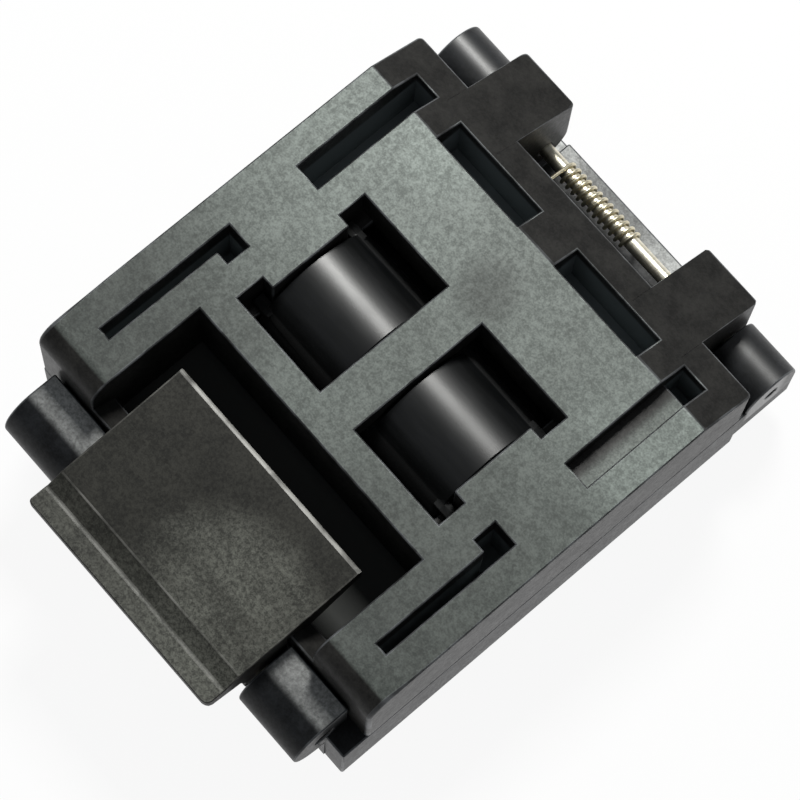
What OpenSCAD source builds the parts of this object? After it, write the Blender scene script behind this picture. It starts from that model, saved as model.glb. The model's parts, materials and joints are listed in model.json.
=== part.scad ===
// Clamshell socket that holds a small-outline package while it is programmed.
// Millimetres. The origin is on the seating plane, under the package's centre.
// X runs along the hinge, +Y points from the latch to the hinge, Z is up.

/* [Package] */
// leads in each of the two rows
leads_a_side = 14; // [8:1:15]
// distance from lead to lead
lead_pitch = 1.27; // [1.1:0.01:1.3]
// package body along the hinge
pkg_len = 17.9; // [14:0.1:18.4]
// package body height above its seat
pkg_h = 2.35; // [2:0.05:2.6]
// lead tip to lead tip
lead_span = 10.3; // [10:0.1:10.5]
// flat foot of one lead
lead_foot = 0.85; // [0.6:0.05:1]
// thickness of one lead
lead_t = 0.25; // [0.15:0.05:0.3]

/* [Shell] */
// width of lid and base
body_w = 33; // [32:0.5:40]
// seating plane to lid top
lid_top = 13.5; // [13.2:0.1:16]
// seating plane to base rim
base_rim = 5.8; // [5.5:0.1:6.2]
// gap at the parting line
part_gap = 0.12; // [0.08:0.01:0.2]
// package centre to lid front
lid_front = 17; // [16:0.1:18.6]
// base front edge ahead of the lid front
base_ahead = 2; // [1.6:0.1:3]
// package centre to lid rear edge
lid_rear = 16.2; // [15.4:0.1:16.2]
// rounding of the lid's front edge
nose_r = 1.7; // [0.8:0.1:2.2]
// where the lid's top starts to fall to the hinge
slope_start = 11.7; // [11:0.1:12]
// fall of the lid's rear top
slope_deg = 24.5; // [18:0.5:28]

/* [Lid openings] */
// half the rib between the windows
win_in = 1.7; // [1.5:0.1:2.2]
// package centre to a window's outer edge
win_out = 8.95; // [8.6:0.05:9.2]
// half a window's length
win_half = 5.47; // [5.3:0.01:6]
// depth of the notch beyond a window's outer edge
notch_out = 1; // [0.8:0.05:1.2]
// length of each notch
notch_len = 2.17; // [1.6:0.01:2.4]
// thickness of the lid's top around the pad
lid_skin = 4; // [3.6:0.1:4.2]
// lip in a notch that carries the pad's hook
ledge_t = 0.7; // [0.5:0.05:0.9]
// half the width of the latch bay in the lid
bay_half = 10.97; // [10.5:0.05:11.5]
// package centre to the latch bay's inner edge
bay_back = 7.8; // [7.2:0.1:8.2]
// width of the front slots
slot_w = 0.9; // [0.6:0.05:1.2]
// lid side to the front slots
slot_wall = 2.38; // [2:0.02:2.7]
// package centre to the front slots' near end
slot_near = 2.62; // [2:0.1:3]
// package centre to the front slots' far end
slot_far = 13.57; // [12:0.1:14]
// sideways reach of a front slot's hook
slot_hook = 1.05; // [0.6:0.05:1.2]
// length of a front slot's hook
slot_hook_len = 1.8; // [1.2:0.1:2.4]
// lid side to a side pocket
pocket_wall = 2.2; // [2:0.05:2.9]
// width of a side pocket
pocket_w = 2.05; // [1.4:0.05:2.1]
// package centre to a side pocket's front end
pocket_near = 3.4; // [3:0.1:4]
// package centre to a side pocket's rear end
pocket_far = 13.87; // [12:0.1:14]
// package centre to a cross slot's inner end
cross_in = 1.78; // [1.4:0.1:2.4]
// package centre to a cross slot's outer end
cross_out = 9.85; // [9:0.1:10.4]
// width of a cross slot
cross_len = 2.15; // [1.6:0.05:2.3]
// depth of slots and pockets
core_depth = 6; // [4:0.1:6.4]
// package centre to the rear end of the right side pocket's shallow floor
shelf_end = 12.2; // [10:0.1:12.6]
// depth of the shallow floor in the right side pocket
shelf_depth = 1.5; // [1.2:0.1:2]

/* [Hinge] */
// package centre to hinge axis
hinge_y = 19.4; // [19.3:0.1:22]
// seating plane to hinge axis
hinge_z = 4; // [3.6:0.1:4.4]
// diameter of the hinge pin
hinge_pin_d = 1.1; // [0.9:0.1:1.5]
// radial running clearance of a pin
run_gap = 0.05; // [0.03:0.01:0.1]
// radial clearance of a seated piece
seat_gap = 0.03; // [0.02:0.01:0.06]
// radius of the base knuckles
knuckle_r = 2.3; // [2:0.05:2.5]
// lid side to a knuckle's outer end
knuckle_inset = 0.2; // [0.1:0.1:1]
// radius of the lid ears at the hinge
ear_r = 2.2; // [1.9:0.05:2.4]
// package centre to an ear's inner side
ear_in = 6.68; // [6.2:0.05:7.2]
// package centre to an ear's outer side
ear_out = 11.67; // [11:0.05:12.4]
// side gap between ears and base
ear_gap = 0.2; // [0.1:0.05:0.3]
// base strip under the hinge spring
strip_t = 1.5; // [1.2:0.1:2]
// base shelf under the lid ears
shelf_t = 0.8; // [0.6:0.1:1]
// wire of the hinge spring
hinge_wire = 0.2; // [0.16:0.02:0.3]
// turn to turn in the hinge spring
hinge_turn_pitch = 0.55; // [0.4:0.01:0.6]
// turns of the hinge spring
hinge_turns = 12; // [8:1:14]
// first turn of the hinge spring, along the pin
hinge_spring_x = -4.6; // [-5:0.1:-4]
// reach of the hinge spring's leg under the lid
spring_reach = 0.4; // [0.3:0.1:1.5]

/* [Latch] */
// latch pin ahead of the lid front
latch_ahead = 2.1; // [1.9:0.05:2.6]
// seating plane to latch pin
latch_z = 6.8; // [6.6:0.1:6.9]
// diameter of the latch pin
latch_pin_d = 1.5; // [1.2:0.1:1.8]
// radius of the latch barrel on its pin
barrel_r = 1.8; // [1.6:0.05:1.85]
// latch width
latch_w = 17.8; // [16:0.1:18]
// side gap between latch and bosses
latch_gap = 0.25; // [0.15:0.05:0.4]
// radius of the bosses that carry the latch pin
boss_r = 2.6; // [2.4:0.05:2.7]
// base side to a boss's outer end
boss_inset = 1.75; // [1.3:0.05:3]
// latch pin to the plate's inner edge
plate_behind = 8.1; // [7.6:0.1:8.6]
// latch pin to the plate's outer edge
plate_ahead = 2.2; // [1.4:0.1:2.9]
// latch pin to the finger lip's edge
lip_ahead = 5; // [4.3:0.1:5.9]
// width of the finger lip
lip_w = 1.5; // [1.2:0.1:2]
// thickness of the finger lip
lip_t = 1; // [0.8:0.1:1.4]
// plate top below the lid top, at its inner edge
plate_drop = 1.1; // [0.8:0.1:1.6]
// fall of the plate to its outer edge
plate_fall = 0.9; // [0.4:0.1:1.4]
// fall of the bevel between plate and lip
bevel_fall = 0.5; // [0.3:0.1:1]
// thickness of the plate
plate_t = 1.4; // [1.2:0.1:1.8]
// width of the lid's catch bar
bar_w = 1.8; // [1.5:0.1:2]
// seating plane to the catch bar's underside
bar_low = 7.7; // [7.4:0.1:8]
// seating plane to the catch bar's upper edge
bar_high = 10.3; // [10:0.05:10.4]
// slope of the hook and of the bar under it
hook_deg = 30; // [20:1:33]
// gap between hook and bar
hook_gap = 0.2; // [0.15:0.05:0.3]
// wire of the latch spring
latch_wire = 0.4; // [0.3:0.02:0.5]
// turns of the latch spring
latch_turns = 6; // [4:1:7]

/* [Contacts] */
// sheet thickness of a contact
contact_t = 0.4; // [0.3:0.05:0.5]
// strip width of the spring arm
arm_w = 0.45; // [0.35:0.05:0.55]
// contact tip above the base rim
tip_proud = 0.25; // [0.15:0.05:0.35]
// package centre to the nearer row of tails
tail_row = 6.35; // [6.2:0.05:6.6]
// distance between the two rows of tails on a side
row_gap = 2.54; // [1.8:0.01:2.6]
// width of a tail
tail_w = 0.5; // [0.4:0.05:0.6]
// tails below the seating plane
tail_len = 3; // [2.4:0.1:4]
// clearance around a contact
contact_gap = 0.06; // [0.04:0.01:0.1]
// thickness of the plate that holds the tails
retainer_t = 0.9; // [0.7:0.1:1.1]
// tail plate above the seating plane
retainer_lift = 0; // [0:0.05:0.2]

/* [Nest, pad and pegs] */
// half the nest's width across the leads
nest_half = 2.7; // [2.4:0.1:2.8]
// depth of the nest in the base
nest_depth = 2.8; // [2:0.1:3]
// height of the nest's end guides
guide_rise = 1; // [0.6:0.1:1.2]
// thickness of an end guide
guide_t = 1.1; // [0.8:0.1:1.3]
// gap between package and end guides
pkg_gap = 0.12; // [0.08:0.01:0.2]
// half the pad's length along the hinge
pad_half = 9.6; // [9.2:0.1:9.8]
// pad material above the package, under a hump's crown
pad_crown_t = 4; // [3.4:0.05:4.1]
// thickness of the web between the two humps
web_t = 1.55; // [1.2:0.05:1.7]
// gap between a hump and its window
hump_gap = 0.15; // [0.1:0.01:0.25]
// upward travel of the pad
pad_travel = 0.5; // [0.3:0.05:0.6]
// mean radius of a pad spring
pad_spring_r = 0.85; // [0.7:0.05:0.95]
// package centre to a pad spring
pad_spring_y = 2.4; // [2:0.1:2.6]
// wire of a pad spring
pad_wire = 0.28; // [0.2:0.02:0.3]
// turns of a pad spring
pad_turns = 4; // [3:1:5]
// diameter of the locating pegs
peg_d = 1.6; // [1.2:0.1:2]
// length of the locating pegs
peg_len = 1.6; // [1:0.1:2.2]
// package centre to a peg, along the hinge
peg_x = 13.2; // [12.5:0.1:14]
// package centre to a peg, across the hinge
peg_y = 13; // [11:0.1:14]

/* [Hidden] */
$fn = 64;
half_w = body_w / 2;
lid_low = base_rim + part_gap;
base_front = lid_front + base_ahead;
slot_out = half_w - slot_wall;
pocket_out = half_w - pocket_wall;
pocket_in = pocket_out - pocket_w;
core_low = lid_top - core_depth;
over = lid_top + 1;
eps = 0.01;

// contact rows and heights, from the bottom up
row_half = (leads_a_side - 1) / 2 * lead_pitch;
retainer_top = retainer_lift + retainer_t;
shoulder_low = retainer_top + 0.3;
shoulder_high = shoulder_low + 1;
tip_z = base_rim + tip_proud;
tip_y = (lead_span - lead_foot) / 2;
tip_r = 0.4;
arm_low = shoulder_high - arm_w;
arm_high = tip_z - 2 * tip_r + 0.1;
arm_r = (arm_high - arm_low) / 2;
arm_z = (arm_high + arm_low) / 2;
arm_y = tip_y + 0.35;
slot_y0 = arm_y - arm_r - 0.15;
slot_y1 = tip_y + 0.85;
slot_half = contact_t / 2 + contact_gap;
tail_far = tail_row + row_gap;
retainer_x = row_half + 1.4;
retainer_y = tail_far + 1;

// nest and pad
nest_top = tip_z + 0.1;
nest_x = pkg_len / 2 + pkg_gap + guide_t;
press_z = tip_z + lead_t + 0.05;
recess_top = nest_top + pkg_h + 0.25;
pad_r = lead_span / 2 - 0.05;
crown_z = recess_top + pad_crown_t;
pad_axis_z = crown_z - pad_r;
recess_half = pad_r - 1.15;
web_top = recess_top + web_t;
rib_low = web_top + pad_travel + 0.2;
cavity_x = nest_x + 0.25;
cavity_y = win_half + 0.7;
skin_low = lid_top - lid_skin;
wing_top = skin_low - pad_travel - 0.1;
ledge_z = skin_low + ledge_t;
hook_post = 0.55;
hook_t_z = 0.7;
hook_x = win_out - hump_gap;
hook_y0 = win_half - notch_len + 0.15;
hook_y1 = hook_y0 + 0.9;
spring_cup_r = pad_spring_r + pad_wire / 2 + 0.15;
pad_cup_z = web_top - 0.8;
lid_cup_z = lid_top - 1;

// hinge and latch
slope_t = tan(slope_deg);
knuckle_end = half_w - knuckle_inset;
pin_end = knuckle_end - 0.2;
latch_y = lid_front + latch_ahead;
boss_out = half_w - boss_inset;
plate_in = latch_y - plate_behind;
plate_out = latch_y + plate_ahead;
lip_out = latch_y + lip_ahead;
coil_gap = 0.06;
hinge_coil_r = hinge_pin_d / 2 + coil_gap + hinge_wire / 2;
leg_rise = lid_low - hinge_z - hinge_coil_r - hinge_wire;
leg_slope = atan(leg_rise / (hinge_y - lid_rear + spring_reach));
leg_room = hinge_wire / 2 + 0.24;
latch_coil_r = latch_pin_d / 2 + coil_gap + latch_wire / 2;
latch_half = latch_w / 2;
bay_wall = latch_half + latch_gap;
bay_floor = latch_z - barrel_r - 0.5;
boss_back = lid_front + 0.15;
bar_back = lid_front - bar_w;
hook_t = tan(hook_deg);
neck_in = lid_front + 0.25;
hook_root_z = bar_high + hook_gap + 0.25 * hook_t;
hook_tip_y = bar_back - 0.2;
hook_tip_z = hook_root_z - (neck_in - hook_tip_y) * hook_t;
plate_z = lid_top - plate_drop;
lip_z = plate_z - plate_fall - bevel_fall;
spring_room = latch_turns * (latch_wire + 0.12) / 2 + 0.5;
pocket_back = latch_y - latch_coil_r - latch_wire / 2 - 0.06;
latch_leg_top = hook_root_z - 1.6;

function slope_z(y) = lid_top - (y - slope_start) * slope_t;
function contact_x(i) = i * lead_pitch - row_half;
function tail_y(i) = i % 2 == 0 ? tail_row : tail_far;

// helpers

module box(x0, x1, y0, y1, z0, z1) {
  translate([x0, y0, z0])
    cube([x1 - x0, y1 - y0, z1 - z0]);
}

module rod_x(x0, x1, y, z, r) {
  translate([x0, y, z])
    rotate([0, 90, 0])
      cylinder(h = x1 - x0, r = r);
}

// a side view, drawn as (y, z), carried from x0 to x1
module along_x(x0, x1) {
  translate([x0, 0, 0])
    rotate([90, 0, 90])
      linear_extrude(height = x1 - x0)
        children();
}

module both_sides() {
  children();
  mirror([1, 0, 0])
    children();
}

// Wire coil around the X axis, with a straight leg at each end.
// hand is 1 or -1, from is the angle of the first turn in the YZ plane.
wire_sides = 6;
turn_steps = 12;

function coil_point(r, lead, hand, from, k) =
  let (a = from + hand * 360 * k / turn_steps)
  [lead * k / turn_steps, r * cos(a), r * sin(a)];
function coil_out(hand, from, k) =
  let (a = from + hand * 360 * k / turn_steps)
  [0, cos(a), sin(a)];
function coil_ahead(hand, from, k) =
  let (a = from + hand * 360 * k / turn_steps)
  [0, -hand * sin(a), hand * cos(a)];
function wire_ring(at, out, wire) =
  [for (s = [0 : wire_sides - 1])
    at + wire / 2 * (cos(360 * s / wire_sides) * out + sin(360 * s / wire_sides) * [1, 0, 0])];

module coil(r, wire, lead, turns, hand, from, leg_a, leg_b) {
  last = round(turns * turn_steps);
  start = coil_point(r, lead, hand, from, 0) - leg_a * coil_ahead(hand, from, 0);
  finish = coil_point(r, lead, hand, from, last) + leg_b * coil_ahead(hand, from, last);
  rings = concat(
    leg_a > 0 ? [wire_ring(start, coil_out(hand, from, 0), wire)] : [],
    [for (k = [0 : last]) wire_ring(coil_point(r, lead, hand, from, k), coil_out(hand, from, k), wire)],
    leg_b > 0 ? [wire_ring(finish, coil_out(hand, from, last), wire)] : []
  );
  n = wire_sides;
  total = len(rings);
  points = [for (ring = rings) for (p = ring) p];
  walls = [for (k = [0 : total - 2]) for (s = [0 : n - 1])
    [k * n + s, k * n + (s + 1) % n, (k + 1) * n + (s + 1) % n, (k + 1) * n + s]];
  first_cap = [for (s = [n - 1 : -1 : 0]) s];
  last_cap = [for (s = [0 : n - 1]) (total - 1) * n + s];
  faces = concat([first_cap], walls, [last_cap]);
  turned = [for (f = faces) [for (j = [len(f) - 1 : -1 : 0]) f[j]]];
  polyhedron(points = points, faces = hand > 0 ? turned : faces);
}

// base

module knuckle_post() {
  x0 = ear_out + ear_gap;
  rod_x(x0, knuckle_end, hinge_y, hinge_z, knuckle_r);
  box(x0, knuckle_end, lid_rear - 1, hinge_y + knuckle_r, 0, hinge_z);
}

module latch_boss() {
  intersection() {
    rod_x(bay_wall, boss_out, -latch_y, latch_z, boss_r);
    box(bay_wall, boss_out, -latch_y - boss_r, -boss_back, 0, lid_top);
  }
  box(bay_wall, boss_out, -latch_y, -boss_back, 0, latch_z + boss_r);
}

module contact_slots() {
  for (i = [0 : leads_a_side - 1])
    for (side = [0, 1])
      mirror([0, side, 0])
        translate([contact_x(i), 0, 0]) {
          box(-slot_half, slot_half, slot_y0, slot_y1, retainer_top - eps, base_rim + 1);
          box(-slot_half, slot_half, slot_y0, tail_y(i) + 0.6, retainer_top - eps, shoulder_high + 0.15);
        }
}

module base_housing() {
  color([0.13, 0.13, 0.14])
  difference() {
    union() {
      box(-half_w, half_w, -base_front, lid_rear, 0, base_rim);
      box(-(ear_in - ear_gap), ear_in - ear_gap, lid_rear - 1, hinge_y + knuckle_r, 0, strip_t);
      box(-knuckle_end, knuckle_end, lid_rear - 1, hinge_y + knuckle_r, 0, shelf_t);
      both_sides() {
        knuckle_post();
        latch_boss();
      }
      for (s = [-1, 1])
        translate([s * peg_x, s * peg_y, -peg_len])
          cylinder(h = peg_len + 1, d = peg_d);
    }
    // key corner, ahead of the lid and beside the left boss
    box(-half_w - 1, -boss_out, -base_front - 1, -lid_front, -1, base_rim + 1);
    // latch bay, open to the front
    box(-bay_wall, bay_wall, -latch_y - boss_r - 1, barrel_r + 0.35 - latch_y, bay_floor, lid_top);
    // pocket of the nest and recess of the tail plate
    box(-nest_x - seat_gap, nest_x + seat_gap, -nest_half - seat_gap, nest_half + seat_gap,
      base_rim - nest_depth, base_rim + 1);
    box(-retainer_x - seat_gap, retainer_x + seat_gap, -retainer_y - seat_gap, retainer_y + seat_gap,
      -1, retainer_top);
    contact_slots();
    // room for the hinge spring's leg under the lid
    box(hinge_spring_x - leg_room, hinge_spring_x + leg_room, lid_rear - spring_reach - 2, hinge_y,
      hinge_z, lid_low);
    rod_x(-half_w - 1, half_w + 1, hinge_y, hinge_z, hinge_pin_d / 2 + seat_gap);
    rod_x(-half_w - 1, half_w + 1, -latch_y, latch_z, latch_pin_d / 2 + seat_gap);
  }
}

module contact_retainer() {
  color([0.2, 0.2, 0.2])
  difference() {
    box(-retainer_x, retainer_x, -retainer_y, retainer_y, retainer_lift, retainer_top);
    for (i = [0 : leads_a_side - 1])
      for (side = [-1, 1])
        translate([contact_x(i), side * tail_y(i), 0])
          box(-slot_half, slot_half, -tail_w / 2 - contact_gap, tail_w / 2 + contact_gap, -1, 3);
  }
}

module package_nest() {
  color([0.17, 0.17, 0.18])
  union() {
    box(-nest_x, nest_x, -nest_half, nest_half, base_rim - nest_depth, nest_top);
    both_sides()
      box(nest_x - guide_t, nest_x, -nest_half, nest_half, nest_top - 1, nest_top + guide_rise);
  }
}

// side view of one contact: tail, shoulder, bent spring arm and round tip
module contact_outline(tail) {
  translate([tail - tail_w / 2, -tail_len])
    square([tail_w, tail_len + shoulder_high]);
  translate([arm_y, shoulder_low])
    square([tail + tail_w / 2 - arm_y, shoulder_high - shoulder_low]);
  intersection() {
    difference() {
      translate([arm_y, arm_z])
        circle(r = arm_r);
      translate([arm_y, arm_z])
        circle(r = arm_r - arm_w);
    }
    translate([0, shoulder_low])
      square([arm_y + eps, tip_z]);
  }
  translate([tip_y + 0.1, tip_z - tip_r])
    circle(r = tip_r);
}

module contact(i, side) {
  color([0.8, 0.65, 0.3])
  mirror([0, side < 0 ? 1 : 0, 0])
    translate([contact_x(i), 0, 0])
      along_x(-contact_t / 2, contact_t / 2)
        contact_outline(tail_y(i));
}

// hinge

module hinge_pin() {
  color([0.75, 0.74, 0.7])
  rod_x(-pin_end, pin_end, hinge_y, hinge_z, hinge_pin_d / 2);
}

module hinge_spring() {
  leg_deg = 90 - leg_slope;
  color([0.7, 0.68, 0.6])
  translate([hinge_spring_x, hinge_y, hinge_z])
    coil(hinge_coil_r, hinge_wire, hinge_turn_pitch, hinge_turns + leg_deg / 360, -1, leg_deg,
      leg_rise / sin(leg_slope), hinge_z - strip_t - 0.02);
}

// lid

module lid_side_view() {
  polygon([
    [nose_r - lid_front, lid_low],
    [lid_rear, lid_low],
    [lid_rear, slope_z(lid_rear)],
    [slope_start, lid_top],
    [nose_r - lid_front, lid_top]
  ]);
  translate([-lid_front, lid_low])
    square([nose_r + eps, lid_top - nose_r - lid_low]);
  translate([nose_r - lid_front, lid_top - nose_r])
    circle(r = nose_r);
}

module ear_side_view() {
  ear_rear = hinge_y + ear_r;
  polygon([
    [lid_rear - 2, lid_low],
    [hinge_y - ear_r, lid_low],
    [hinge_y - ear_r, hinge_z],
    [ear_rear, hinge_z],
    [ear_rear, slope_z(ear_rear)],
    [lid_rear - 2, slope_z(lid_rear - 2)]
  ]);
  translate([hinge_y, hinge_z])
    circle(r = ear_r);
}

module catch_bar() {
  along_x(-bay_half - 1, bay_half + 1)
    polygon([
      [-lid_front, bar_low],
      [-bar_back, bar_low],
      [-bar_back, bar_high - bar_w * hook_t],
      [-lid_front, bar_high]
    ]);
}

// cuts of one half of the lid, all from the top
module lid_top_cuts() {
  // window with its two hook notches
  box(win_in, win_out, -win_half, win_half, skin_low - 2, over);
  for (s = [0, 1])
    mirror([0, s, 0])
      box(win_out - 1, win_out + notch_out, win_half - notch_len, win_half, ledge_z, over);
  // front slot with its hook
  box(slot_out - slot_w, slot_out, -slot_far, -slot_near, core_low, over);
  box(slot_out - slot_w - slot_hook, slot_out, -slot_near - slot_hook_len, -slot_near, core_low, over);
  // cross slot at the foot of the rear slope
  box(cross_in, cross_out, slope_start, slope_start + cross_len, core_low, over);
}

// rear side pockets: the left one is deep, the right one only behind its shallow floor
module side_pockets() {
  box(-pocket_out, -pocket_in, pocket_near, pocket_far, core_low, over);
  box(pocket_in, pocket_out, shelf_end, pocket_far, core_low, over);
  box(pocket_in, pocket_out, pocket_near, shelf_end + eps, lid_top - shelf_depth, over);
}

module lid_cover() {
  color([0.3, 0.31, 0.31])
  union() {
    difference() {
      union() {
        along_x(-half_w, half_w)
          lid_side_view();
        both_sides()
          along_x(ear_in, ear_out)
            ear_side_view();
      }
      // latch bay
      box(-bay_half, bay_half, -lid_front - 1, -bay_back, 0, lid_top + 1);
      both_sides()
        lid_top_cuts();
      side_pockets();
      // room for nest and pad
      box(-cavity_x, cavity_x, -cavity_y, cavity_y, 0, skin_low);
      box(-win_in - eps, win_in + eps, -win_half, win_half, 0, rib_low);
      for (s = [-1, 1])
        translate([0, s * pad_spring_y, rib_low - 1])
          cylinder(h = lid_cup_z - rib_low + 1, r = spring_cup_r);
      rod_x(-half_w, half_w, hinge_y, hinge_z, hinge_pin_d / 2 + run_gap);
    }
    catch_bar();
  }
}

// floating pad that presses the leads down

module pad_hook() {
  box(hook_x - hook_post, hook_x, hook_y0, hook_y1, ledge_z - 1, ledge_z + hook_t_z);
  box(hook_x - hook_post, win_out + notch_out - 0.15, hook_y0, hook_y1, ledge_z + 0.02, ledge_z + hook_t_z);
}

// what the round bar is cut to: two wings, the web and a hump in each window
module pad_blocks() {
  box(-pad_half, pad_half, -pad_r, pad_r, press_z, wing_top);
  box(-win_in - 1, win_in + 1, -pad_r, pad_r, press_z, web_top);
  both_sides()
    box(win_in + hump_gap, hook_x, -pad_r, pad_r, press_z, crown_z + 1);
}

module pressure_pad() {
  color([0.1, 0.1, 0.11])
  difference() {
    union() {
      intersection() {
        rod_x(-pad_half, pad_half, 0, pad_axis_z, pad_r);
        pad_blocks();
      }
      both_sides() {
        pad_hook();
        mirror([0, 1, 0])
          pad_hook();
      }
    }
    box(-pad_half - 1, pad_half + 1, -recess_half, recess_half, 0, recess_top);
    for (s = [-1, 1])
      translate([0, s * pad_spring_y, pad_cup_z])
        cylinder(h = lid_top - pad_cup_z, r = spring_cup_r);
  }
}

module pad_spring(side) {
  low = pad_cup_z + pad_wire / 2 + 0.03;
  high = lid_cup_z - pad_wire / 2 - 0.03;
  color([0.7, 0.68, 0.6])
  translate([0, side * pad_spring_y, low])
    rotate([0, -90, 0])
      coil(pad_spring_r, pad_wire, (high - low) / pad_turns, pad_turns, 1, 0, 0, 0);
}

// latch

// side view of the latch above its barrel
module latch_side_view() {
  polygon([
    [0.3 - latch_y - barrel_r, latch_z],
    [-latch_y - barrel_r - 0.4, lip_z - lip_t - 1],
    [-lip_out, lip_z - lip_t],
    [-lip_out, lip_z],
    [lip_w - lip_out, lip_z],
    [-plate_out, plate_z - plate_fall],
    [-plate_in, plate_z],
    [-plate_in, plate_z - plate_t],
    [-hook_tip_y, hook_tip_z],
    [-neck_in, hook_root_z],
    [-neck_in, latch_z + 1],
    [-latch_y, latch_z]
  ]);
}

module latch_lever() {
  color([0.22, 0.21, 0.2])
  difference() {
    union() {
      rod_x(-latch_half, latch_half, -latch_y, latch_z, barrel_r);
      along_x(-latch_half, latch_half)
        latch_side_view();
    }
    rod_x(-half_w, half_w, -latch_y, latch_z, latch_pin_d / 2 + run_gap);
    // room for the spring around the pin, and for its upper leg
    box(-spring_room, spring_room, -latch_y - barrel_r - 1, barrel_r + 1 - latch_y, 0, latch_z + barrel_r);
    box(-spring_room, spring_room, -latch_y - 1.2, -pocket_back, latch_z, latch_leg_top + 0.4);
  }
}

module latch_pin() {
  color([0.75, 0.74, 0.7])
  rod_x(-boss_out + 0.2, boss_out - 0.2, -latch_y, latch_z, latch_pin_d / 2);
}

module latch_spring() {
  lead = latch_wire + 0.12;
  color([0.7, 0.68, 0.6])
  translate([-latch_turns * lead / 2, -latch_y, latch_z])
    coil(latch_coil_r, latch_wire, lead, latch_turns, 1, 0,
      latch_z - bay_floor - 0.02, latch_leg_top - latch_z);
}

base_housing();
contact_retainer();
package_nest();
hinge_pin();
hinge_spring();
lid_cover();
pressure_pad();
pad_spring(-1);  // pad_spring_front
pad_spring(1);  // pad_spring_rear
latch_lever();
latch_pin();
latch_spring();
for (i = [1 : leads_a_side]) {
  contact(i - 1, -1);
  contact(i - 1, 1);
}
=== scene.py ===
"""Looks for a clamshell chip socket: moulded shells, satin pad, steel pins, wire springs, gold contacts."""

import json
import math

import bmesh
import bpy
from mathutils import Matrix, Vector


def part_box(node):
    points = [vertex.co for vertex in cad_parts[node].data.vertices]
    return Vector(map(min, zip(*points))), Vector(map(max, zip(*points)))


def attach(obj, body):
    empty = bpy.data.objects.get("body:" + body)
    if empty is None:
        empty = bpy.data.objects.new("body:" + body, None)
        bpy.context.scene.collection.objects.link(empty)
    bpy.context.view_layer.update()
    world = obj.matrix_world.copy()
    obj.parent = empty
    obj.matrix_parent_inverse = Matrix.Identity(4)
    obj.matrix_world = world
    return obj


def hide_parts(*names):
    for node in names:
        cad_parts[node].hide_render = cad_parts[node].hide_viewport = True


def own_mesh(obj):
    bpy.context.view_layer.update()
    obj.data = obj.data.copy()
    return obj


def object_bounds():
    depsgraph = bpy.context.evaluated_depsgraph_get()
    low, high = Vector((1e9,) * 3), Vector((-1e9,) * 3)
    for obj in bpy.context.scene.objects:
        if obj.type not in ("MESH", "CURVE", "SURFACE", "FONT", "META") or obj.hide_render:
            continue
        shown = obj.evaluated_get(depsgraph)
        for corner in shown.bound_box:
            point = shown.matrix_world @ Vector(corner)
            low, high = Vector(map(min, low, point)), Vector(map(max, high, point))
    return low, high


MM = 0.001

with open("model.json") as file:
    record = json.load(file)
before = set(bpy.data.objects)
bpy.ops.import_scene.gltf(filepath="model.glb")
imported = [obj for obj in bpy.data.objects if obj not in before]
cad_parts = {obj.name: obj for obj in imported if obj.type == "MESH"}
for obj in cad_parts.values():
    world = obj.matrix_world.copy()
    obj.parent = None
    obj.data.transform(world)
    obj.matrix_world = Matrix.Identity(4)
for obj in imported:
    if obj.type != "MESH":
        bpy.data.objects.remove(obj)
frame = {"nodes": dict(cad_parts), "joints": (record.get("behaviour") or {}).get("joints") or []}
cad_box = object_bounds()
nodes = frame["nodes"]
joints = {joint["name"]: joint for joint in frame["joints"]}


# Places on the socket, in millimetres from its origin

LID_LOW, LID_HIGH = (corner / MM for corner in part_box("lid_cover"))
LID_REAR = 16.2
SLOPE_START = 11.7
EAR_ROOT = 14.2
EAR_IN, EAR_OUT = 6.68, 11.67
BAY_HALF, BAY_BACK = 10.97, -7.8
SLOT_FRONT, SLOT_FLOOR = -13.57, LID_HIGH.z - 6
POCKET_OUT, POCKET_REAR, POCKET_FLOOR = 14.3, 13.87, LID_HIGH.z - 1.5
BASE_RIM = 5.8
STRIP_TOP = 1.5
LATCH_LOW, LATCH_HIGH = (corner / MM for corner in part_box("latch_lever"))
LIP_INNER = LATCH_LOW.y + 1.5
PLATE_FRONT = LATCH_LOW.y + 2.8
HINGE_AXIS, LATCH_AXIS = (Vector(joints[name]["pos_m"]) / MM for name in ("lid_hinge", "latch_pivot"))
HINGE_COIL_X, HINGE_COIL_LEAD, HINGE_COIL_TURNS = -4.6, 0.55, 12.2
HINGE_COIL_MIDDLE = HINGE_COIL_X + HINGE_COIL_LEAD * HINGE_COIL_TURNS / 2
LATCH_COIL_X = -1.56


# Shader building

# Face attribute for wear and a painted glint on rounded edges: their lighter colour stands in for highlights
# as well as wear.
WEAR_AND_GLINT = "wear_and_glint_edge"


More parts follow.
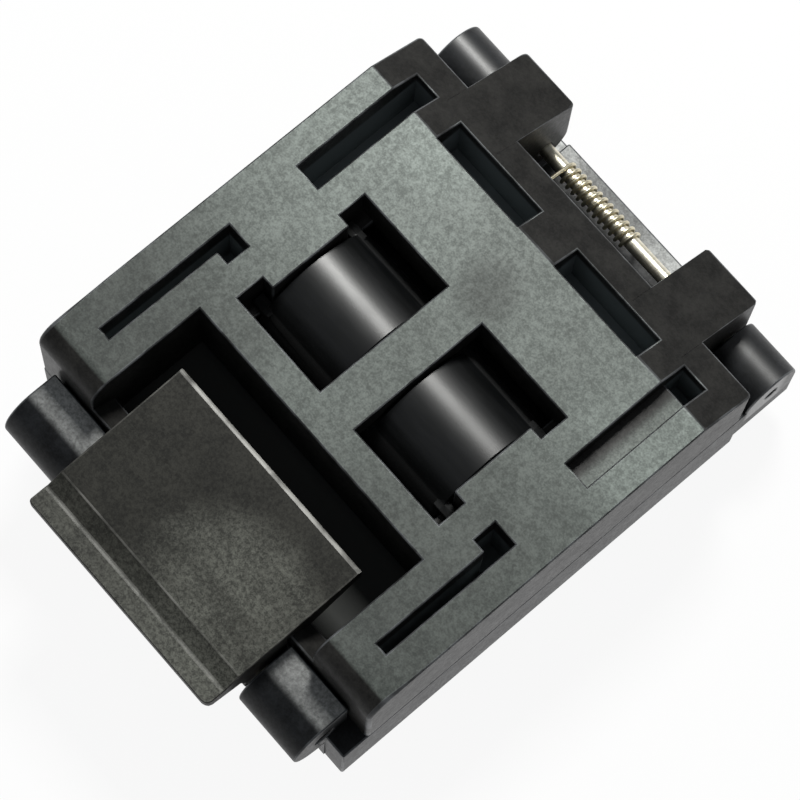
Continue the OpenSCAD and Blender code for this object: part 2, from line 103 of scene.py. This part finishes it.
class Reading:
    """One shader socket; arithmetic on it adds Math nodes to its finish."""

    def __init__(self, finish, socket):
        self.finish = finish
        self.socket = socket

    def _maths(self, operation, *values):
        return self.finish.node("ShaderNodeMath", {"operation": operation}, dict(enumerate(values)))["Value"]

    def __add__(self, other):
        return self._maths("ADD", self, other)

    __radd__ = __add__

    def __sub__(self, other):
        return self._maths("SUBTRACT", self, other)

    def __rsub__(self, other):
        return self._maths("SUBTRACT", other, self)

    def __mul__(self, other):
        return self._maths("MULTIPLY", self, other)

    __rmul__ = __mul__

    def __truediv__(self, other):
        return self._maths("DIVIDE", self, other)

    def __abs__(self):
        return self._maths("ABSOLUTE", self)

    def above(self, low, high):
        """0 below low, 1 above high, smooth between."""
        spread = self.finish.node(
            "ShaderNodeMapRange",
            {"interpolation_type": "SMOOTHSTEP"},
            {"Value": self, "From Min": low, "From Max": high},
        )
        return spread["Result"]

    def past(self, place, blur):
        """0 before a place, 1 beyond it, smooth over blur, both in millimetres."""
        return self.above((place - blur / 2) * MM, (place + blur / 2) * MM)

    def before(self, place, blur):
        """1 before a place, 0 beyond it."""
        return 1 - self.past(place, blur)

    def near(self, place, reach):
        """1 around a place, 0 further away than reach, both in millimetres."""
        return 1 - abs(self - place * MM).above(0.3 * reach * MM, reach * MM)


class Finish:
    """A material under construction."""

    def __init__(self, name):
        self.material = bpy.data.materials.new(name)
        self.material.use_nodes = True
        self.tree = self.material.node_tree
        self.tree.nodes.clear()
        where = self.node("ShaderNodeTexCoord")
        self.place = where["Object"]
        self.x, self.y, self.z = self.split(self.place)
        self.level = self.split(where["Normal"])[2]

    def node(self, kind, settings=None, inputs=None):
        """Adds a node and returns its outputs as readings, by name."""
        made = self.tree.nodes.new(kind)
        for key, value in (settings or {}).items():
            setattr(made, key, value)
        for key, value in (inputs or {}).items():
            if isinstance(value, Reading):
                self.tree.links.new(value.socket, made.inputs[key])
            else:
                made.inputs[key].default_value = value
        return {socket.name: Reading(self, socket) for socket in made.outputs if socket.enabled}

    def split(self, vector):
        parts = self.node("ShaderNodeSeparateXYZ", None, {"Vector": vector})
        return parts["X"], parts["Y"], parts["Z"]

    def noise(self, size, detail=2.0, roughness=0.5, stretch=None, swirl=0.0):
        """Noise whose blotches are about size millimetres across."""
        vector = self.place
        if stretch:
            vector = self.node("ShaderNodeMapping", None, {"Vector": vector, "Scale": stretch})["Vector"]
        made = self.node("ShaderNodeTexNoise", None, {
            "Vector": vector,
            "Scale": 0.6 / (size * MM),
            "Detail": detail,
            "Roughness": roughness,
            "Distortion": swirl,
        })
        return made["Fac"]

    def spot(self, centre, radii):
        """1 in the middle of an oval spot on a level face, fading to 0 at its rim, in millimetres."""
        across = (self.x - centre[0] * MM) / (radii[0] * MM)
        along = (self.y - centre[1] * MM) / (radii[1] * MM)
        return 1 - (across * across + along * along).above(0, 1)

    def mix(self, share, a, b):
        """Colour a where share is 0, colour b where it is 1."""
        a, b = (c if isinstance(c, Reading) else (*c, 1) for c in (a, b))
        return self.node("ShaderNodeMix", {"data_type": "RGBA"}, {"Factor": share, 6: a, 7: b})["Result"]

    def bump(self, height, depth):
        """Normal of a surface that height, from 0 to 1, raises by depth millimetres."""
        inputs = {"Height": height, "Strength": 1.0, "Distance": depth * MM}
        return self.node("ShaderNodeBump", None, inputs)["Normal"]

    def wear_and_glint_edge(self):
        """How strong the wear and painted glint on the rounded edges is, as it is marked on the faces."""
        return self.node("ShaderNodeAttribute", {"attribute_name": WEAR_AND_GLINT})["Fac"]

    def surface(self, inputs):
        shader = self.node("ShaderNodeBsdfPrincipled", None, inputs)
        self.node("ShaderNodeOutputMaterial", None, {"Surface": shader["BSDF"]})
        return self.material


def shade(colour, share):
    return tuple(share * c for c in colour)


# Finishes


def moulded_plastic(
    name, body, painted_light_colour, wear_and_glint, painted_fill_light=(0, 0, 0), painted_light=None, polish=None, recess=None, kept=None,
    flat=0.95, roughness=0.42, gloss=0.18, grain=0.2, contrast=0.36,
):
    """Filled plastic: a near-black body with a lighter painted sheen on its level faces, and with edges that
    carry wear and a painted glint.

    Of the pickers, the first says where the sheen is painted, polish what shines, recess where a lighter
    colour is painted in as fill light, and kept which edges get neither wear nor glint.
    """
    f = Finish(name)
    painted_light_amount, shiny, inner, no_wear_glint = (pick(f) if pick else 0 for pick in (painted_light, polish, recess, kept))
    speck = f.noise(grain, 3.0, 0.6, swirl=0.3)
    fine = f.noise(0.4 * grain, 1.0, 0.5)
    blotch = f.noise(1.1, 2.0, 0.5, swirl=0.4)
    cloud = f.noise(3.5, 2.0, 0.5)
    mottle = (speck * 0.55 + fine * 0.3 + blotch * 0.15).above(0.34, 0.68)
    # Painted sheen: level faces get a lighter colour that stands in for the lamp's sheen, as far as the
    # picker gives it.
    share = f.level.above(flat, flat + 0.04) * painted_light_amount * (0.7 + 0.6 * cloud)
    # Edge wear plus a painted glint, uneven along the edges.
    wear_glint = f.wear_and_glint_edge() * (0.35 + 1.1 * blotch.above(0.35, 0.68)) * (1 - no_wear_glint)
    skin = f.mix(mottle * 0.6 + blotch.above(0.3, 0.7) * 0.4, shade(body, 0.4), shade(body, 1.8))
    painted_light_tone = f.mix(mottle, shade(painted_light_colour, 1 - contrast), shade(painted_light_colour, 1 + contrast))
    return f.surface({
        "Base Color": f.mix(wear_glint * 0.8, f.mix(share, f.mix(inner, skin, painted_fill_light), painted_light_tone), wear_and_glint),
        "Roughness": roughness + 0.1 * (0.5 - mottle) + 0.08 * (cloud - 0.5) + 0.4 * inner,
        "Specular IOR Level": gloss,
        "Coat Weight": 0.25 * wear_glint + shiny,
        "Coat Roughness": 0.42,
        "Normal": f.bump(speck * 0.7 + fine * 0.3, 0.003),
    })


# Stronger and weaker spots in the painted sheen on the lid's top: strength, centre and radii
LID_PAINTED_LIGHT_SPOTS = (
    (0.13, (-9.5, 10.8), (5, 4)),
    (0.16, (-1, -6.5), (7, 5)),
    (0.1, (11, 8.5), (4, 4)),
    (-0.25, (0.2, 7.2), (3, 3)),
    (-0.1, (12, 0), (7, 6)),
)


def lid_painted_light(f):
    """Painted sheen, weak at the front and stronger towards the hinge and the left, stronger or weaker in
    spots, and in the right pocket only on the outer side of its floor.
    """
    top = 0.26 + 0.33 * f.y.past(-2, 20)
    top = top + 0.2 * f.x.before(-5.5, 13) * f.y.past(-1, 14)
    top = top + 0.22 * f.x.past(14, 2) * f.y.past(4, 4)
    for strength, centre, radii in LID_PAINTED_LIGHT_SPOTS:
        top = top + strength * f.spot(centre, radii)
    pocket = 0.6 * f.x.past(POCKET_OUT - 0.9, 1)
    high = f.z.past(POCKET_FLOOR + 0.5, 0.6)
    return (high * top + (1 - high) * pocket) * f.z.past(POCKET_FLOOR - 0.7, 0.6)


def lid_recess(f):
    """1 inside the lid's slots and side pockets."""
    across = abs(f.x).before(POCKET_OUT + 0.2, 0.2)
    along = f.y.past(SLOT_FRONT - 0.5, 0.2) * f.y.before(POCKET_REAR + 0.08, 0.1)
    inboard = abs(f.x).before(BAY_HALF + 0.3, 0.2) * f.y.before(SLOPE_START - 0.3, 0.2)
    depth = f.z.past(SLOT_FLOOR - 0.35, 0.3) * f.z.before(POCKET_FLOOR - 0.5, 0.6)
    return across * along * (1 - inboard) * depth


def ear_roots(f):
    """1 on the lid's slope where the hinge ears begin, whose edges get no wear and no painted glint."""
    across = abs(f.x).past(EAR_IN - 0.3, 0.2) * abs(f.x).before(EAR_OUT + 0.3, 0.2)
    return across * f.y.past(EAR_ROOT - 0.2, 0.2) * f.y.before(LID_REAR - 0.15, 0.3)


def base_painted_light(f):
    """Painted light on the latch bosses, strongest by the lid where its shadow falls, and on the strip under
    the hinge, with painted shade by its spring.
    """
    boss = (0.43 + 0.17 * f.y.past(LATCH_AXIS.y + 0.6, 0.6)) * f.y.past(LATCH_AXIS.y - 0.275, 0.75)
    boss = boss * f.y.before(-0.5, 1) * f.z.past(LATCH_AXIS.z + 1.2, 1) * (1 - 0.1 * f.x.past(2.5, 5))
    strip = f.y.past(HINGE_AXIS.y + 0.6, 0.8) * f.z.before(STRIP_TOP + 0.3, 0.4)
    coils = f.x.near(HINGE_COIL_MIDDLE, 6)
    return boss + strip * (1 - 0.6 * coils)


def base_recess(f):
    """1 inside the latch bay and on the rim beside it."""
    across = abs(f.x).before(BAY_HALF + 0.3, 1.4)
    along = f.y.past(LID_LOW.y + 0.3, 0.2) * f.y.before(BAY_BACK, 1.5)
    return across * along * f.z.past(BASE_RIM - 1.8, 0.4) * f.z.before(BASE_RIM + 0.2, 0.2)


def knuckle_polish(f):
    """The hinge knuckles are smoother than the rest of the base, less so at the back."""
    front = 1 - 0.7 * f.y.past(HINGE_AXIS.y + 1, 0.8)
    return front * f.y.past(HINGE_AXIS.y - 2.15, 0.5) * f.z.past(STRIP_TOP + 0.5, 0.4)


def latch_painted_light(f):
    """Painted sheen, weak on the plate, stronger on the finger lip, on the bevel towards the right, and in a
    streaky oval right of the plate's middle.
    """
    lip = f.y.before(LIP_INNER, 0.2)
    bevel = f.y.before(PLATE_FRONT, 0.2)
    streaks = f.noise(2.2, 3.0, 0.6, (0.6, 1.6, 1.0), 0.8).above(0.3, 0.7)
    right_oval = f.spot((4.8, -18.9), (8, 6.8)) * (0.5 + 0.8 * streaks)
    return 0.16 + 0.85 * right_oval * (1 - bevel) + bevel * (0.15 + 0.4 * f.x.past(1, 10)) + 0.3 * lip


def satin_black(name):
    """Pad plastic: black and satin, duller on its hooks, with faint rub lines along the hinge direction."""
    f = Finish(name)
    rub = f.noise(0.3, 2.0, 0.6, (0.15, 1.0, 1.0))
    haze = f.noise(2.5, 2.0, 0.5).above(0.4, 0.75)
    hooks = abs(f.x).past(8.85, 0.1) + abs(f.y).past(3.9, 0.2)
    return f.surface({
        "Base Color": f.mix(rub.above(0.35, 0.75), (0.002, 0.0024, 0.0026), (0.005, 0.0055, 0.006)),
        "Roughness": 0.35 + 0.04 * haze + 0.04 * (rub - 0.5) + 0.5 * hooks,
        "Specular IOR Level": 0.5,
        "Normal": f.bump(rub, 0.0008),
    })


def steel(name, dull, bright, roughness, stretch):
    """Drawn or ground steel with fine lines and a few duller stains."""
    f = Finish(name)
    lines = f.noise(0.08, 2.0, 0.6, stretch)
    stain = f.noise(0.9, 2.0, 0.5).above(0.35, 0.7)
    tone = f.mix(lines.above(0.3, 0.7), dull, bright)
    return f.surface({
        "Base Color": f.mix(stain * 0.35, tone, shade(dull, 0.75)),
        "Metallic": 1.0,
        "Roughness": roughness + 0.06 * (lines - 0.5) + 0.06 * stain,
        "Normal": f.bump(lines, 0.0001),
    })


def gold_flash(name):
    """Contacts: gold over nickel, thinner and greyer on the tails."""
    f = Finish(name)
    wear = f.noise(0.25, 2.0, 0.6).above(0.45, 0.75)
    tail = f.z.before(0.2, 1.2)
    plated = f.mix(wear * 0.4, (0.86, 0.62, 0.24), (0.7, 0.55, 0.3))
    return f.surface({
        "Base Color": f.mix(tail * 0.85, plated, (0.62, 0.6, 0.55)),
        "Metallic": 1.0,
        "Roughness": 0.26 + 0.14 * wear + 0.08 * tail,
        "Normal": f.bump(wear, 0.002),
    })


lid_skin = moulded_plastic(
    "lid_grey_plastic",
    body=(0.015, 0.0145, 0.0136), painted_light_colour=(0.235, 0.268, 0.247), wear_and_glint=(0.24, 0.255, 0.275),
    # The slots and pockets get a lighter colour as painted fill light.
    painted_fill_light=(0.16, 0.182, 0.19), painted_light=lid_painted_light, recess=lid_recess, kept=ear_roots,
)
base_skin = moulded_plastic(
    "base_black_plastic",
    body=(0.01, 0.0108, 0.012), painted_light_colour=(0.45, 0.46, 0.455), wear_and_glint=(0.08, 0.086, 0.092),
    # The latch bay gets a lighter colour as painted fill light.
    painted_fill_light=(0.05, 0.052, 0.05), painted_light=base_painted_light, recess=base_recess, polish=knuckle_polish,
    roughness=0.4, gloss=0.15,
)
latch_skin = moulded_plastic(
    "latch_brown_plastic",
    body=(0.0105, 0.0098, 0.0082), painted_light_colour=(0.088, 0.09, 0.078), wear_and_glint=(0.36, 0.355, 0.335),
    painted_light=latch_painted_light, flat=0.88, roughness=0.5, grain=0.16, contrast=0.6,
)
nest_skin = moulded_plastic(
    "nest_plastic",
    body=(0.025, 0.025, 0.026), painted_light_colour=(0.05, 0.05, 0.05), wear_and_glint=(0.06, 0.06, 0.06),
)
pad_skin = satin_black("pad_black_plastic")
pin_skin = steel("pin_steel", (0.78, 0.73, 0.58), (0.93, 0.89, 0.76), 0.36, (1.0, 0.1, 0.1))
wire_skin = steel("spring_wire", (0.66, 0.6, 0.44), (0.86, 0.8, 0.62), 0.34, (1.0, 1.0, 1.0))
gold_skin = gold_flash("contact_gold")


# Edges of the shells, picked by place in millimetres, by direction and by sharpness in degrees

SHARP = 30


def middle(edge):
    """Centre of an edge in millimetres."""
    return (edge.verts[0].co + edge.verts[1].co) / 2 / MM


def direction(edge):
    return (edge.verts[1].co - edge.verts[0].co).normalized()


def crosswise(edge):
    return abs(direction(edge).x) > 0.9


def lengthwise(edge):
    """Whether an edge lies in a plane across the hinge."""
    return abs(direction(edge).x) < 0.1


def upright(edge):
    return abs(direction(edge).z) > 0.8


def bend(edge):
    """Degrees between an edge's two faces, positive where it is convex."""
    return math.degrees(edge.calc_face_angle_signed(0)) if len(edge.link_faces) == 2 else 0


def any_corner(edge):
    return bend(edge) > SHARP


def at_lid_side(edge):
    return abs(middle(edge).x) > LID_HIGH.x - 0.1


def lid_rear_corner(edge):
    """The two upright edges at the lid's rear corners."""
    return any_corner(edge) and upright(edge) and at_lid_side(edge) and middle(edge).y > LID_REAR - 0.2


def lid_front_corner(edge):
    """Edges at the ends of the lid's rounded nose."""
    return bend(edge) > 2 * SHARP and at_lid_side(edge) and middle(edge).y < LID_LOW.y + 2


def ear_end(edge):
    """The outline of an ear's rear end, on both its sides."""
    return any_corner(edge) and lengthwise(edge) and middle(edge).y > HINGE_AXIS.y + 1.1


def ear_side(edge):
    """The long upper edges of the ears, which run out on the slope."""
    spot = middle(edge)
    return any_corner(edge) and lengthwise(edge) and 0.8 < spot.y - LID_REAR < 2.8 and spot.z > 10


def slope_crease(edge):
    """The blunt edge where the lid's top turns down towards the hinge."""
    return SHARP / 2 < bend(edge) < SHARP and crosswise(edge) and middle(edge).y > SLOPE_START - 0.7


def lid_edge(edge):
    return slope_crease(edge) or (any_corner(edge) and not ear_side(edge))


def lip_crease(edge):
    """The hollow corner between the latch's bevel and its finger lip."""
    return bend(edge) < -5 and crosswise(edge) and abs(middle(edge).y - LIP_INNER) < 0.5


def plate_edge(edge):
    """The blunt edge between the latch's plate and its bevel."""
    spot = middle(edge)
    return 8 < bend(edge) < SHARP and crosswise(edge) and spot.y < PLATE_FRONT + 0.8 and spot.z > 10


def lip_corner(edge):
    """The upright edges at the ends of the finger lip."""
    return any_corner(edge) and upright(edge) and middle(edge).y < LATCH_LOW.y + 0.6


def lip_left_corner(edge):
    return lip_corner(edge) and middle(edge).x < 0


def lip_right_corner(edge):
    return lip_corner(edge) and middle(edge).x > 0


def latch_rim(edge):
    """The plate's upper inner edge."""
    return any_corner(edge) and crosswise(edge) and middle(edge).z > LATCH_HIGH.z - 0.4


# Shells, pins and springs, in millimetres

JOIN_WITHIN = 0.0005
FLAT_BELOW = math.radians(0.6)
SMOOTH_BELOW = math.radians(38)
ROOM_SPARE = 1.05
WIRE_SIDES = 10
STEPS_A_TURN = 28


def new_piece(bm, name, node, body, skin):
    """Makes the bmesh an object that stands for a node and rides on its body."""
    mesh = bpy.data.meshes.new(name)
    bm.to_mesh(mesh)
    bm.free()
    mesh.materials.append(skin)
    mesh.shade_smooth()
    mesh.set_sharp_from_angle(angle=SMOOTH_BELOW)
    piece = bpy.data.objects.new(name, mesh)
    bpy.context.scene.collection.objects.link(piece)
    even = piece.modifiers.new("even_shading", "WEIGHTED_NORMAL")
    even.keep_sharp = True
    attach(piece, body)
    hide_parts(node)
    return piece


def solid_copy(node):
    """The node's own shape, with its loose triangles joined into whole faces."""
    bm = bmesh.new()
    bm.from_mesh(nodes[node].data)
    bmesh.ops.remove_doubles(bm, verts=bm.verts, dist=JOIN_WITHIN * MM)
    bmesh.ops.dissolve_limit(bm, angle_limit=FLAT_BELOW, verts=bm.verts, edges=bm.edges)
    bm.faces.layers.float.new(WEAR_AND_GLINT)
    return bm


def mark_wear_and_glint(bm, faces, wear):
    """Notes on faces how strong their wear and painted glint is, from 0 to 1."""
    wear_glint = bm.faces.layers.float[WEAR_AND_GLINT]
    for face in faces:
        face[wear_glint] = wear


def has_room(edge, radius, rounded):
    """Whether an edge and those beside it are long enough for its rounding, given all edges to round."""
    reach = ROOM_SPARE * radius * MM
    for loop in edge.link_loops:
        before, after = loop.link_loop_prev, loop.link_loop_next
        taken = 0
        for corner, beside, beyond in (
            (loop, before.edge, before.link_loop_prev.edge),
            (after, after.edge, after.link_loop_next.edge),
        ):
            turn = corner.calc_angle() if corner.is_convex else 2 * math.pi - corner.calc_angle()
            if beside in rounded:
                taken += 1 / math.tan(turn / 2)
            elif abs(math.sin(turn)) > 0.3:  # an edge beside it that isn't in line with it
                taken += 1 / math.tan(turn)
                ends = 2 if beyond in rounded else 1
                if beside.calc_length() * abs(math.sin(turn)) < ends * reach:
                    return False
        if edge.calc_length() < taken * reach:
            return False
    return True


def soften(bm, radius, chosen, wear):
    """Rounds those of the chosen edges that have room for it, and marks them for wear and a painted glint.
    """
    edges = {e for e in bm.edges if chosen(e)}
    tight = edges
    while tight:
        tight = {e for e in edges if not has_room(e, radius, edges)}
        edges -= tight
    made = bmesh.ops.bevel(
        bm, geom=list(edges), offset=radius * MM, offset_type="OFFSET", affect="EDGES",
        segments=3, profile=0.5, material=-1, clamp_overlap=False,
    )
    mark_wear_and_glint(bm, made["faces"], wear)


def calm_crease(bm):
    """Leaves only a weak wear and painted glint on the crease in the lid's top."""
    wear_glint = bm.faces.layers.float[WEAR_AND_GLINT]
    crease = [
        face for face in bm.faces
        if face[wear_glint] and face.normal.z > 0.9 and abs(face.calc_center_median().y / MM - SLOPE_START) < 0.3
    ]
    mark_wear_and_glint(bm, crease, 0.15)


def lip_groove(bm):
    """Sinks the foot of the latch's bevel, so that the finger lip has a raised inner edge with some wear and
    a painted glint.
    """
    crease = [e for e in bm.edges if lip_crease(e)]
    made = bmesh.ops.bevel(
        bm, geom=crease, offset=0.13 * MM, offset_type="OFFSET", affect="EDGES",
        segments=1, profile=0.5, material=-1, clamp_overlap=True,
    )
    foot_y = max(v.co.y for v in made["verts"])
    foot = [v for v in made["verts"] if foot_y - v.co.y < 0.05 * MM]
    bmesh.ops.translate(bm, verts=foot, vec=(0, 0, -0.1 * MM))
    mark_wear_and_glint(bm, made["faces"], 0.25)


def dressed(node, name, body, skin, rounds, first=None, last=None):
    """A piece that stands for a node, with its edges rounded as moulded ones are.

    rounds gives each rounding's radius, the edges that get it, and how strong their wear and painted glint
    is. The piece keeps within the node's own box.
    """
    bm = solid_copy(node)
    low, high = ([limit(v.co[axis] for v in bm.verts) for axis in range(3)] for limit in (min, max))
    if first:
        first(bm)
    for radius, chosen, wear in rounds:
        soften(bm, radius, chosen, wear)
    if last:
        last(bm)
    for v in bm.verts:
        v.co = [min(max(c, least), most) for c, least, most in zip(v.co, low, high)]
    return new_piece(bm, name, node, body, skin)


def spring(node, name, body, place, wire, coil_r, lead, turns, hand=1, start=0, legs=(0, 0), stands=False):
    """Round wire wound about X, or about Z if it stands, from angle start, with a leg at each end."""
    bm = bmesh.new()
    ring = bmesh.ops.create_circle(bm, segments=WIRE_SIDES, radius=wire / 2 * MM)["verts"]
    bmesh.ops.translate(bm, verts=ring, vec=(0, coil_r * MM, 0))
    bmesh.ops.rotate(bm, verts=ring, matrix=Matrix.Rotation(start, 3, "X"))
    front = list(bm.edges)
    steps = round(turns * STEPS_A_TURN)
    wound_angle = hand * turns * 2 * math.pi
    wound = bmesh.ops.spin(
        bm, geom=front, axis=(1, 0, 0), dvec=(lead * turns / steps * MM, 0, 0),
        angle=wound_angle, steps=steps, use_merge=False,
    )
    back = [e for e in wound["geom_last"] if isinstance(e, bmesh.types.BMEdge)]
    for edges, angle, length in ((front, start, -legs[0]), (back, start + wound_angle, legs[1])):
        if length:
            drawn = bmesh.ops.extrude_edge_only(bm, edges=edges)["geom"]
            ends = [v for v in drawn if isinstance(v, bmesh.types.BMVert)]
            ahead = Vector((0, -hand * math.sin(angle), hand * math.cos(angle)))
            bmesh.ops.translate(bm, verts=ends, vec=ahead * length * MM)
    bmesh.ops.holes_fill(bm, edges=[e for e in bm.edges if e.is_boundary])
    bmesh.ops.recalc_face_normals(bm, faces=bm.faces)
    if stands:
        bmesh.ops.rotate(bm, verts=bm.verts, matrix=Matrix.Rotation(-math.pi / 2, 3, "Y"))
    bmesh.ops.translate(bm, verts=bm.verts, vec=Vector(place) * MM)
    return new_piece(bm, name, node, body, wire_skin)


def eased(node, skin, radius):
    """Gives a small node its finish and lightly broken edges."""
    piece = nodes[node]
    piece.data.materials.clear()
    piece.data.materials.append(skin)
    weld = piece.modifiers.new("joined", "WELD")
    weld.merge_threshold = JOIN_WITHIN * MM
    ease = piece.modifiers.new("eased_edges", "BEVEL")
    ease.width = radius * MM
    ease.segments = 2
    ease.limit_method = "ANGLE"
    ease.angle_limit = math.radians(SHARP)
    ease.harden_normals = True


# The lid's crease and rounded edges carry wear and a painted glint.
dressed("lid_cover", "lid_shell", "lid", lid_skin, last=calm_crease, rounds=[
    (0.35, lid_rear_corner, 0.5),
    (0.3, ear_end, 0.5),
    (0.3, lid_front_corner, 0.3),
    (0.14, lid_edge, 0.26),
    (0.04, ear_side, 0.26),
])
dressed("base_housing", "base_shell", "base", base_skin, [(0.14, any_corner, 0.8)])
# The latch's rim, plate edge and lip crease carry wear and a painted glint that stands in for their
# highlights.
dressed("latch_lever", "latch_plate", "latch", latch_skin, first=lip_groove, rounds=[
    (0.25, lip_left_corner, 0.1),
    (0.5, lip_right_corner, 0.1),
    (0.07, plate_edge, 0.3),
    (0.36, latch_rim, 1),
    (0.12, any_corner, 0.12),
])
dressed("pressure_pad", "pad_block", "pad", pad_skin, [(0.1, any_corner, 0)])
dressed("hinge_pin", "hinge_axle", "base", pin_skin, [(0.12, any_corner, 0)])
dressed("latch_pin", "latch_axle", "base", pin_skin, [(0.15, any_corner, 0)])

HINGE_LEG_SLOPE = math.atan2(1.01, 3.6)
spring(
    "hinge_spring", "hinge_coil", "base", (HINGE_COIL_X, HINGE_AXIS.y, HINGE_AXIS.z), wire=0.28, coil_r=0.71,
    lead=HINGE_COIL_LEAD, turns=HINGE_COIL_TURNS, hand=-1, start=math.pi / 2 - HINGE_LEG_SLOPE,
    legs=(3.7, 2.46),
)
spring(
    "latch_spring", "latch_coil", "base", (LATCH_COIL_X, LATCH_AXIS.y, LATCH_AXIS.z), wire=0.4, coil_r=1.01,
    lead=0.52, turns=6, legs=(2.28, 2.24),
)

PAD_SPRING_Y = 2.4
PAD_SPRING_LOW, PAD_SPRING_HIGH = 9.67, 12.33
PAD_SPRING_LEN = PAD_SPRING_HIGH - PAD_SPRING_LOW
PAD_SPRING_TURNS = 4
PAD_TRAVEL = joints["pad_float"]["range_m"][1] / MM
for node, y in (("pad_spring_front", -PAD_SPRING_Y), ("pad_spring_rear", PAD_SPRING_Y)):
    coil = spring(
        node, node.replace("spring", "coil"), "lid", (0, y, PAD_SPRING_LOW), wire=0.28, coil_r=0.85,
        lead=PAD_SPRING_LEN / PAD_SPRING_TURNS, turns=PAD_SPRING_TURNS, stands=True,
    )
    1 - PAD_TRAVEL / PAD_SPRING_LEN
    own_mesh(coil)

eased("contact_retainer", base_skin, 0.06)
eased("package_nest", nest_skin, 0.1)
for node in nodes:
    if node.startswith(("contact_front_", "contact_rear_")):
        eased(node, gold_skin, 0.03)


# Stage, lamp and camera, in millimetres

FLOOR_REACH = 1600
BACKDROP_R, BACKDROP_H = 1500, 220
CAMERA_AIM = (1.079, -0.812, 8)
CAMERA_AWAY = 231.62
CAMERA_TURN, CAMERA_RISE, CAMERA_ROLL = (math.radians(degrees) for degrees in (42.11, 74.378, 7.124))


def stand(thing, place, right, back):
    """Puts a lamp or camera at a place in millimetres, its X along right and its back along back."""
    back = Vector(back).normalized()
    right = Vector(right)
    right = (right - back * right.dot(back)).normalized()
    turn = Matrix((right, back.cross(right), back)).transposed().to_4x4()
    thing.matrix_world = Matrix.Translation(Vector(place) * MM) @ turn
    bpy.context.scene.collection.objects.link(thing)


def white_paper():
    """Paper that lenses and glossy faces see as white, and that keeps a soft shadow."""
    f = Finish("white_paper")
    ray = f.node("ShaderNodeLightPath")
    seen = ray["Is Camera Ray"] + ray["Is Glossy Ray"] + ray["Is Transmission Ray"]
    paper = f.node("ShaderNodeBsdfDiffuse", None, {"Color": (0.9, 0.9, 0.9, 1)})["BSDF"]
    glow = f.node("ShaderNodeEmission", None, {"Color": (1, 1, 1, 1), "Strength": 1.0})["Emission"]
    both = f.node("ShaderNodeMixShader", None, {"Fac": seen.above(0, 1) * 0.92, 1: paper, 2: glow})
    f.node("ShaderNodeOutputMaterial", None, {"Surface": both["Shader"]})
    return f.material


def stage_piece(bm, name, material):
    """Sets a stage mesh down where the socket's lowest point is."""
    bmesh.ops.translate(bm, verts=bm.verts, vec=(0, 0, cad_box[0].z))
    mesh = bpy.data.meshes.new(name)
    bm.to_mesh(mesh)
    bm.free()
    mesh.materials.append(material)
    made = bpy.data.objects.new(name, mesh)
    bpy.context.scene.collection.objects.link(made)


def pale_floor():
    """A floor and a low round wall of the same paper."""
    paper = white_paper()
    bm = bmesh.new()
    bmesh.ops.create_grid(bm, x_segments=1, y_segments=1, size=FLOOR_REACH * MM)
    stage_piece(bm, "floor", paper)
    bm = bmesh.new()
    bmesh.ops.create_circle(bm, segments=64, radius=BACKDROP_R * MM)
    drawn = bmesh.ops.extrude_edge_only(bm, edges=bm.edges)["geom"]
    rim = [v for v in drawn if isinstance(v, bmesh.types.BMVert)]
    bmesh.ops.translate(bm, verts=rim, vec=(0, 0, BACKDROP_H * MM))
    stage_piece(bm, "backdrop", paper)


def room_light():
    """Dim even light from all round."""
    world = bpy.data.worlds.new("room")
    bpy.context.scene.world = world
    world.use_nodes = True
    sky = world.node_tree.nodes["Background"]
    sky.inputs["Color"].default_value = (0.92, 0.96, 1.0, 1)
    sky.inputs["Strength"].default_value = 0.25


def soft_lamp():
    """One square lamp from behind on the left, aimed at the middle of the socket."""
    data = bpy.data.lights.new("soft_lamp", "AREA")
    data.shape = "RECTANGLE"
    data.size = data.size_y = 70 * MM
    data.energy = 0.88
    data.color = (1.0, 1.0, 0.97)
    place = Vector((-92, 132, 262))
    stand(bpy.data.objects.new("soft_lamp", data), place, (1, 0, 0), place - Vector((0, 0, 8)))


def photo_camera():
    """A long lens above the front right corner, turned and rolled as the photo was taken."""
    data = bpy.data.cameras.new("camera")
    data.sensor_fit = "HORIZONTAL"
    data.sensor_width = 36.0
    data.lens = 157.5
    data.clip_start, data.clip_end = 0.01, 20.0
    camera = bpy.data.objects.new("camera", data)
    level = Vector((math.cos(CAMERA_TURN), math.sin(CAMERA_TURN), 0))
    ahead = Vector((-level.y, level.x, 0))
    back = Vector((0, 0, math.sin(CAMERA_RISE))) - ahead * math.cos(CAMERA_RISE)
    right = Matrix.Rotation(CAMERA_ROLL, 3, back) @ level
    stand(camera, Vector(CAMERA_AIM) + back * CAMERA_AWAY, right, back)
    bpy.context.scene.camera = camera


pale_floor()
room_light()
soft_lamp()
photo_camera()
bpy.context.scene.view_settings.view_transform = "Standard"
